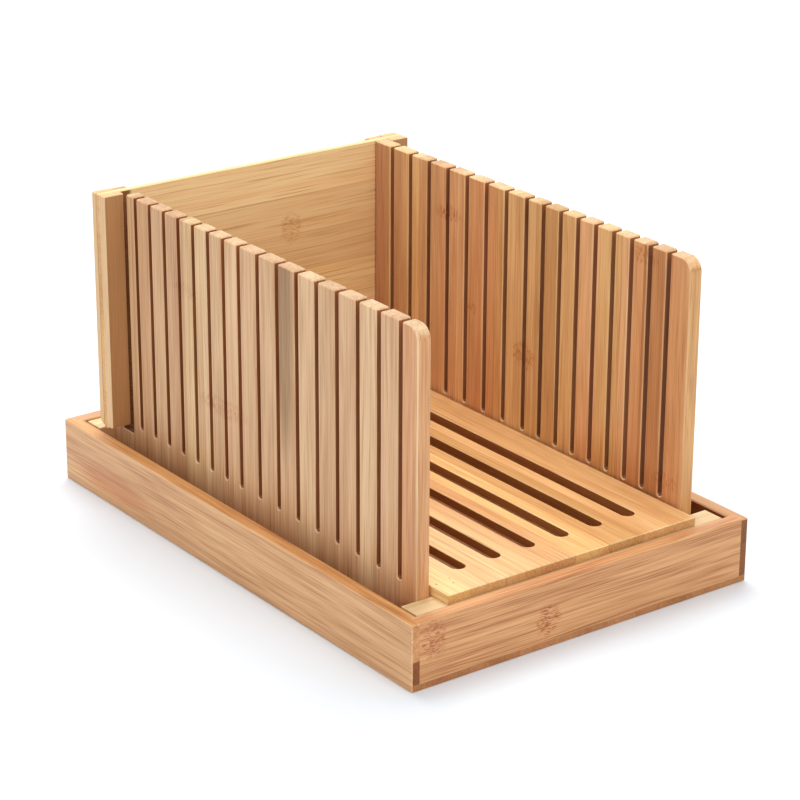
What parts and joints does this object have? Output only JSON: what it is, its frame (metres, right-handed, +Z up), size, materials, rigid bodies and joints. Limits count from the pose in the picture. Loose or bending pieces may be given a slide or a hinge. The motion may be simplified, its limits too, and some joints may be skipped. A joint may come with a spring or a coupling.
{
  "type": "bread slicer guide",
  "caption": "Bamboo bread slicer: slotted guide panels and a lift-out back board over a slotted cutting board, standing in a shallow crumb tray.",
  "frame": {"origin": "centre of the crumb tray's underside", "axes": "+Z up, +Y towards the back board along the loaf, +X to the right as seen from the open front end"},
  "size_m": [0.23, 0.3474, 0.1854],
  "materials": {
    "tray_wall": "oiled bamboo, satin",
    "tray_floor": "oiled bamboo, satin",
    "foot_rail": "oiled bamboo, satin",
    "batten": "pale bamboo, satin",
    "cutting_board": "honey bamboo, satin",
    "left_panel": "oiled bamboo, satin",
    "right_panel": "oiled bamboo, satin",
    "back_board": "oiled bamboo, satin",
    "cheek": "oiled bamboo, satin"
  },
  "bodies": {
    "tray": {"tray_floor": "tray_floor", "tray_front_wall": "tray_wall", "tray_back_wall": "tray_wall", "tray_left_wall": "tray_wall", "tray_right_wall": "tray_wall", "left_outer_foot_rail": "foot_rail", "left_inner_foot_rail": "foot_rail", "right_inner_foot_rail": "foot_rail", "right_outer_foot_rail": "foot_rail"},
    "grate": {"front_batten": "batten", "rear_batten": "batten", "cutting_board": "cutting_board"},
    "left_panel": {"left_guide_panel": "left_panel"},
    "right_panel": {"right_guide_panel": "right_panel"},
    "back_board_unit": {"back_board": "back_board", "left_front_cheek": "cheek", "left_rear_cheek": "cheek", "right_front_cheek": "cheek", "right_rear_cheek": "cheek"}
  },
  "joints": [
    {"name": "grate_lift", "type": "slide", "parent": "tray", "child": "grate", "axis": [0, 0, 1], "range_m": [0, 0.045]},
    {"name": "left_panel_lift", "type": "slide", "parent": "grate", "child": "left_panel", "axis": [0, 0, 1], "range_m": [0, 0.05]},
    {"name": "right_panel_lift", "type": "slide", "parent": "grate", "child": "right_panel", "axis": [0, 0, 1], "range_m": [0, 0.05]},
    {"name": "back_board_lift", "type": "slide", "parent": "left_panel", "child": "back_board_unit", "axis": [0, 0, 1], "range_m": [0, 0.15]}
  ],
  "couplings": [
    {"joint": "right_panel_lift", "follows": "left_panel_lift", "ratio": 1}
  ]
}
